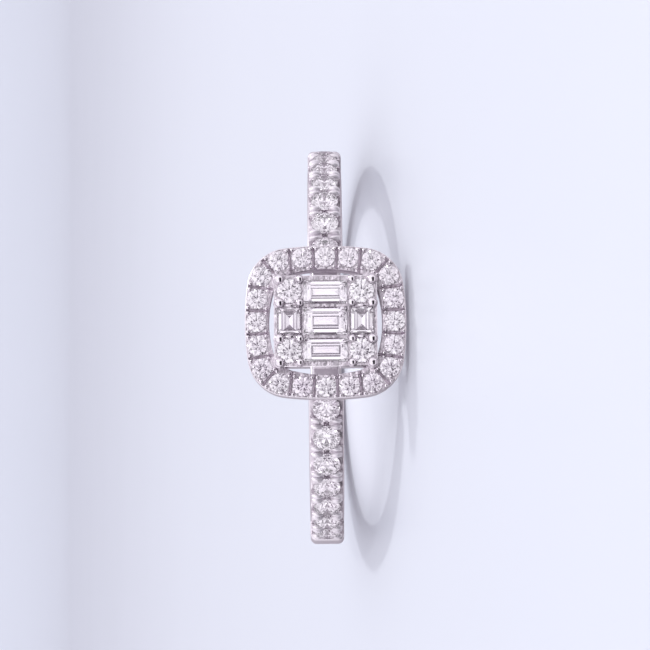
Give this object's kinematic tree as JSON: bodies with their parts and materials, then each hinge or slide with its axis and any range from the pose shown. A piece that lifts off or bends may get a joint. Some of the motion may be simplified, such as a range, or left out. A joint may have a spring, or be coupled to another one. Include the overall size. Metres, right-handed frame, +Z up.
{
  "type": "halo ring",
  "caption": "White gold finger ring with a cushion-shaped halo of round stones round a raised cluster of round and baguette stones, and a band with set shoulders.",
  "frame": {"origin": "the surface that the ring lies on, under the middle of the ring's box", "axes": "+Z up, +Y from the head to the far side of the band, +X across the head along the band"},
  "size_m": [0.0202, 0.023, 0.0076],
  "materials": {
    "white_gold": "white gold, polished bright, with satin grooves between the halo's stones",
    "diamond": "clear diamond, brilliant cut and step cut, polished facets"
  },
  "bodies": {
    "root": {"band_and_setting": "white_gold", "corner_round_1": "diamond", "corner_round_2": "diamond", "corner_round_3": "diamond", "corner_round_4": "diamond", "middle_baguette_1": "diamond", "middle_baguette_2": "diamond", "middle_baguette_3": "diamond", "side_baguette_1": "diamond", "side_baguette_2": "diamond", "halo_stone_1": "diamond", "halo_stone_2": "diamond", "halo_stone_3": "diamond", "halo_stone_4": "diamond", "halo_stone_5": "diamond", "halo_stone_6": "diamond", "halo_stone_7": "diamond", "halo_stone_8": "diamond", "halo_stone_9": "diamond", "halo_stone_10": "diamond", "halo_stone_11": "diamond", "halo_stone_12": "diamond", "halo_stone_13": "diamond", "halo_stone_14": "diamond", "halo_stone_15": "diamond", "halo_stone_16": "diamond", "halo_stone_17": "diamond", "halo_stone_18": "diamond", "halo_stone_19": "diamond", "halo_stone_20": "diamond", "left_stone_1": "diamond", "left_stone_2": "diamond", "left_stone_3": "diamond", "left_stone_4": "diamond", "left_stone_5": "diamond", "left_stone_6": "diamond", "left_stone_7": "diamond", "right_stone_1": "diamond", "right_stone_2": "diamond", "right_stone_3": "diamond", "right_stone_4": "diamond", "right_stone_5": "diamond", "right_stone_6": "diamond", "right_stone_7": "diamond"}
  },
  "joints": []
}
